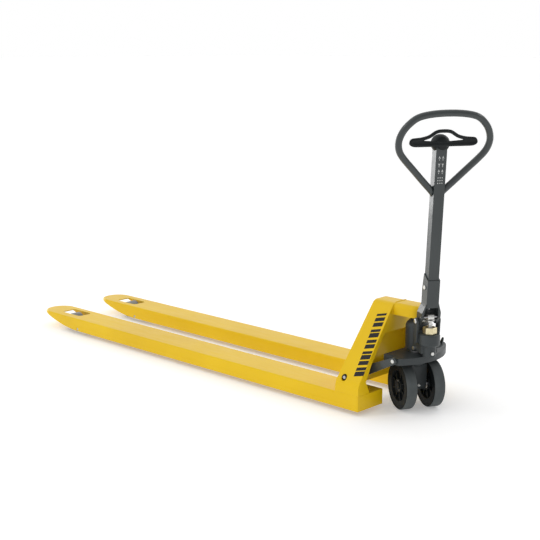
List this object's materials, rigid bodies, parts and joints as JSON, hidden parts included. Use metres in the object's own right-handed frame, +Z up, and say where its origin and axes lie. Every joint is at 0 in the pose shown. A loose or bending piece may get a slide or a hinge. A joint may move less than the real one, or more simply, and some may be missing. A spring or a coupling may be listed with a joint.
{
  "type": "pallet jack",
  "caption": "Hand pallet truck with two long forks, a pump and ram under a rocker yoke, steered twin wheels and a tiller with a loop handle and release lever.",
  "frame": {"origin": "centre of the object's box on the floor", "axes": "+X from the fork tips towards the operator, +Y to the operator's right-hand side, +Z up"},
  "size_m": [2.581, 0.545, 1.241],
  "materials": {
    "fork_left": "gloss yellow enamel",
    "fork_right": "gloss yellow enamel",
    "heel_plate_left": "gloss yellow enamel",
    "heel_plate_right": "gloss yellow enamel",
    "bulkhead": "gloss yellow enamel",
    "ram_bracket": "gloss yellow enamel",
    "shaft_bush_left": "satin black moulding",
    "shaft_bush_right": "satin black moulding",
    "arm_pin_left": "ground steel",
    "arm_pin_right": "ground steel",
    "rocker_shaft": "ground steel",
    "rocker_arm_left": "satin dark grey enamel",
    "rocker_arm_right": "satin dark grey enamel",
    "rod_lever_left": "satin dark grey enamel",
    "rod_lever_right": "satin dark grey enamel",
    "lever_pin_left": "ground steel",
    "lever_pin_right": "ground steel",
    "push_rod_left": "ground steel",
    "push_rod_right": "ground steel",
    "load_arm_left": "satin dark grey enamel",
    "rod_pin_left": "ground steel",
    "roller_axle_left": "ground steel",
    "load_arm_right": "satin dark grey enamel",
    "rod_pin_right": "ground steel",
    "roller_axle_right": "ground steel",
    "load_roller_left": "worn grey nylon",
    "load_roller_right": "worn grey nylon",
    "yoke_plate": "satin dark grey enamel",
    "yoke_bolt_left": "zinc-plated steel",
    "yoke_bolt_right": "zinc-plated steel",
    "thrust_bearing": "ground steel",
    "pump_body": "satin dark grey enamel",
    "gland_nut": "turned brass",
    "axle_carrier": "satin dark grey enamel",
    "wheel_axle": "ground steel",
    "axle_cap_left": "satin black moulding",
    "axle_cap_right": "satin black moulding",
    "grease_nipple": "zinc-plated steel",
    "tiller_pin": "zinc-plated steel",
    "filler_plug": "zinc-plated steel",
    "bleed_screw": "zinc-plated steel",
    "ram": "ground steel",
    "plunger": "zinc-plated steel",
    "plunger_spring": "ground steel",
    "tyre_left": "moulded tread, satin",
    "wheel_hub_left": "satin black moulding",
    "wheel_bearing_left": "ground steel",
    "tyre_right": "moulded tread, satin",
    "wheel_hub_right": "satin black moulding",
    "wheel_bearing_right": "ground steel",
    "tiller_socket": "satin dark grey enamel",
    "tiller_column": "satin dark grey enamel",
    "socket_bolt": "zinc-plated steel",
    "handle_loop": "satin dark grey enamel",
    "cam_pin": "ground steel",
    "lever_pin": "ground steel",
    "cam_roller": "zinc-plated steel",
    "control_lever": "satin black moulding",
    "control_rod": "ground steel",
    "valve_lever": "satin dark grey enamel"
  },
  "bodies": {
    "chassis": {"fork_left": "fork_left", "fork_right": "fork_right", "heel_plate_left": "heel_plate_left", "heel_plate_right": "heel_plate_right", "bulkhead": "bulkhead", "ram_bracket": "ram_bracket", "shaft_bush_left": "shaft_bush_left", "shaft_bush_right": "shaft_bush_right", "arm_pin_left": "arm_pin_left", "arm_pin_right": "arm_pin_right"},
    "rocker": {"rocker_shaft": "rocker_shaft", "rocker_arm_left": "rocker_arm_left", "rocker_arm_right": "rocker_arm_right", "rod_lever_left": "rod_lever_left", "rod_lever_right": "rod_lever_right", "lever_pin_left": "lever_pin_left", "lever_pin_right": "lever_pin_right"},
    "push_rod_left_body": {"push_rod_left": "push_rod_left"},
    "push_rod_right_body": {"push_rod_right": "push_rod_right"},
    "load_arm_left_body": {"load_arm_left": "load_arm_left", "rod_pin_left": "rod_pin_left", "roller_axle_left": "roller_axle_left"},
    "load_arm_right_body": {"load_arm_right": "load_arm_right", "rod_pin_right": "rod_pin_right", "roller_axle_right": "roller_axle_right"},
    "load_roller_left_body": {"load_roller_left": "load_roller_left"},
    "load_roller_right_body": {"load_roller_right": "load_roller_right"},
    "yoke": {"yoke_plate": "yoke_plate", "yoke_bolt_left": "yoke_bolt_left", "yoke_bolt_right": "yoke_bolt_right", "thrust_bearing": "thrust_bearing"},
    "pump": {"pump_body": "pump_body", "gland_nut": "gland_nut", "axle_carrier": "axle_carrier", "wheel_axle": "wheel_axle", "axle_cap_left": "axle_cap_left", "axle_cap_right": "axle_cap_right", "grease_nipple": "grease_nipple", "tiller_pin": "tiller_pin", "filler_plug": "filler_plug", "bleed_screw": "bleed_screw"},
    "ram_body": {"ram": "ram"},
    "plunger_body": {"plunger": "plunger", "plunger_spring": "plunger_spring"},
    "wheel_left": {"tyre_left": "tyre_left", "wheel_hub_left": "wheel_hub_left", "wheel_bearing_left": "wheel_bearing_left"},
    "wheel_right": {"tyre_right": "tyre_right", "wheel_hub_right": "wheel_hub_right", "wheel_bearing_right": "wheel_bearing_right"},
    "tiller": {"tiller_socket": "tiller_socket", "tiller_column": "tiller_column", "socket_bolt": "socket_bolt", "handle_loop": "handle_loop", "cam_pin": "cam_pin", "lever_pin": "lever_pin"},
    "cam_roller_body": {"cam_roller": "cam_roller"},
    "control_lever_body": {"control_lever": "control_lever"},
    "control_rod_body": {"control_rod": "control_rod"},
    "valve_lever_body": {"valve_lever": "valve_lever"}
  },
  "joints": [
    {"name": "rocker_lift", "type": "hinge", "parent": "chassis", "child": "rocker", "pos_m": [0.83448, 0.00246, 0.146], "axis": [0, 1, 0], "range_deg": [0, 32.91]},
    {"name": "yoke_level", "type": "hinge", "parent": "rocker", "child": "yoke", "pos_m": [1.01998, 0.00246, 0.2345], "axis": [0, 1, 0], "range_deg": [-33.41, 0.5]},
    {"name": "steering", "type": "hinge", "parent": "yoke", "child": "pump", "pos_m": [1.01148, 0.00246, 0.2453], "axis": [0, 0, 1], "range_deg": [-61.5, 118.5]},
    {"name": "ram_stroke", "type": "slide", "parent": "pump", "child": "ram_body", "axis": [0, 0, 1], "range_m": [-0.0005, 0.1155]},
    {"name": "push_rod_left_slide", "type": "slide", "parent": "chassis", "child": "push_rod_left_body", "axis": [-1, 0, 0], "range_m": [-0.0005, 0.04016]},
    {"name": "load_arm_left_swing", "type": "hinge", "parent": "chassis", "child": "load_arm_left_body", "pos_m": [-0.96352, -0.18754, 0.03], "axis": [0, -1, 0], "range_deg": [-0.5, 61.5]},
    {"name": "load_roller_left_spin", "type": "hinge", "parent": "load_arm_left_body", "child": "load_roller_left_body", "pos_m": [-1.08852, -0.18754, 0.041], "axis": [0, 1, 0], "continuous": true},
    {"name": "push_rod_right_slide", "type": "slide", "parent": "chassis", "child": "push_rod_right_body", "axis": [-1, 0, 0], "range_m": [-0.0005, 0.04016]},
    {"name": "load_arm_right_swing", "type": "hinge", "parent": "chassis", "child": "load_arm_right_body", "pos_m": [-0.96352, 0.19246, 0.03], "axis": [0, -1, 0], "range_deg": [-0.5, 61.5]},
    {"name": "load_roller_right_spin", "type": "hinge", "parent": "load_arm_right_body", "child": "load_roller_right_body", "pos_m": [-1.08852, 0.19246, 0.041], "axis": [0, 1, 0], "continuous": true},
    {"name": "wheel_left_spin", "type": "hinge", "parent": "pump", "child": "wheel_left", "pos_m": [0.98166, -0.05247, 0.1], "axis": [0.4772, 0.8788, 0], "continuous": true},
    {"name": "wheel_right_spin", "type": "hinge", "parent": "pump", "child": "wheel_right", "pos_m": [1.0413, 0.05739, 0.1], "axis": [0.4772, 0.8788, 0], "continuous": true},
    {"name": "tiller_swing", "type": "hinge", "parent": "pump", "child": "tiller", "pos_m": [1.0897, -0.04001, 0.393], "axis": [0.4772, 0.8788, 0], "range_deg": [0, 70], "stiffness_Nm_per_rad": 15, "springref_deg": -57.3},
    {"name": "plunger_stroke", "type": "slide", "parent": "pump", "child": "plunger_body", "axis": [0, 0, -1], "range_m": [-0.0005, 0.04], "deforming": ["plunger_spring"]},
    {"name": "cam_roller_spin", "type": "hinge", "parent": "tiller", "child": "cam_roller_body", "pos_m": [1.10859, -0.05027, 0.4115], "axis": [0.4772, 0.8788, 0], "continuous": true},
    {"name": "control_lever_tilt", "type": "hinge", "parent": "tiller", "child": "control_lever_body", "pos_m": [1.14691, -0.07107, 1.1], "axis": [0.4772, 0.8788, 0], "range_deg": [-12, 15], "stiffness_Nm_per_rad": 2},
    {"name": "control_rod_slide", "type": "slide", "parent": "tiller", "child": "control_rod_body", "axis": [0.0622, -0.0338, 0.9975], "range_m": [-0.006, 0.006]},
    {"name": "valve_lever_tilt", "type": "hinge", "parent": "pump", "child": "valve_lever_body", "pos_m": [1.06069, -0.02426, 0.278], "axis": [0.4772, 0.8788, 0], "range_deg": [-15, 15]}
  ],
  "couplings": [
    {"joint": "yoke_level", "follows": "rocker_lift", "ratio": -1},
    {"joint": "ram_stroke", "follows": "rocker_lift", "m_per_rad": 0.20019},
    {"joint": "push_rod_left_slide", "follows": "rocker_lift", "m_per_rad": 0.069041},
    {"joint": "load_arm_left_swing", "follows": "rocker_lift", "ratio": 1.8535},
    {"joint": "push_rod_right_slide", "follows": "rocker_lift", "m_per_rad": 0.069041},
    {"joint": "load_arm_right_swing", "follows": "rocker_lift", "ratio": 1.8535},
    {"joint": "plunger_stroke", "follows": "tiller_swing", "m_per_rad": 0.0275},
    {"joint": "control_rod_slide", "follows": "control_lever_tilt", "m_per_rad": -0.02},
    {"joint": "valve_lever_tilt", "follows": "control_lever_tilt", "ratio": 0.8}
  ]
}
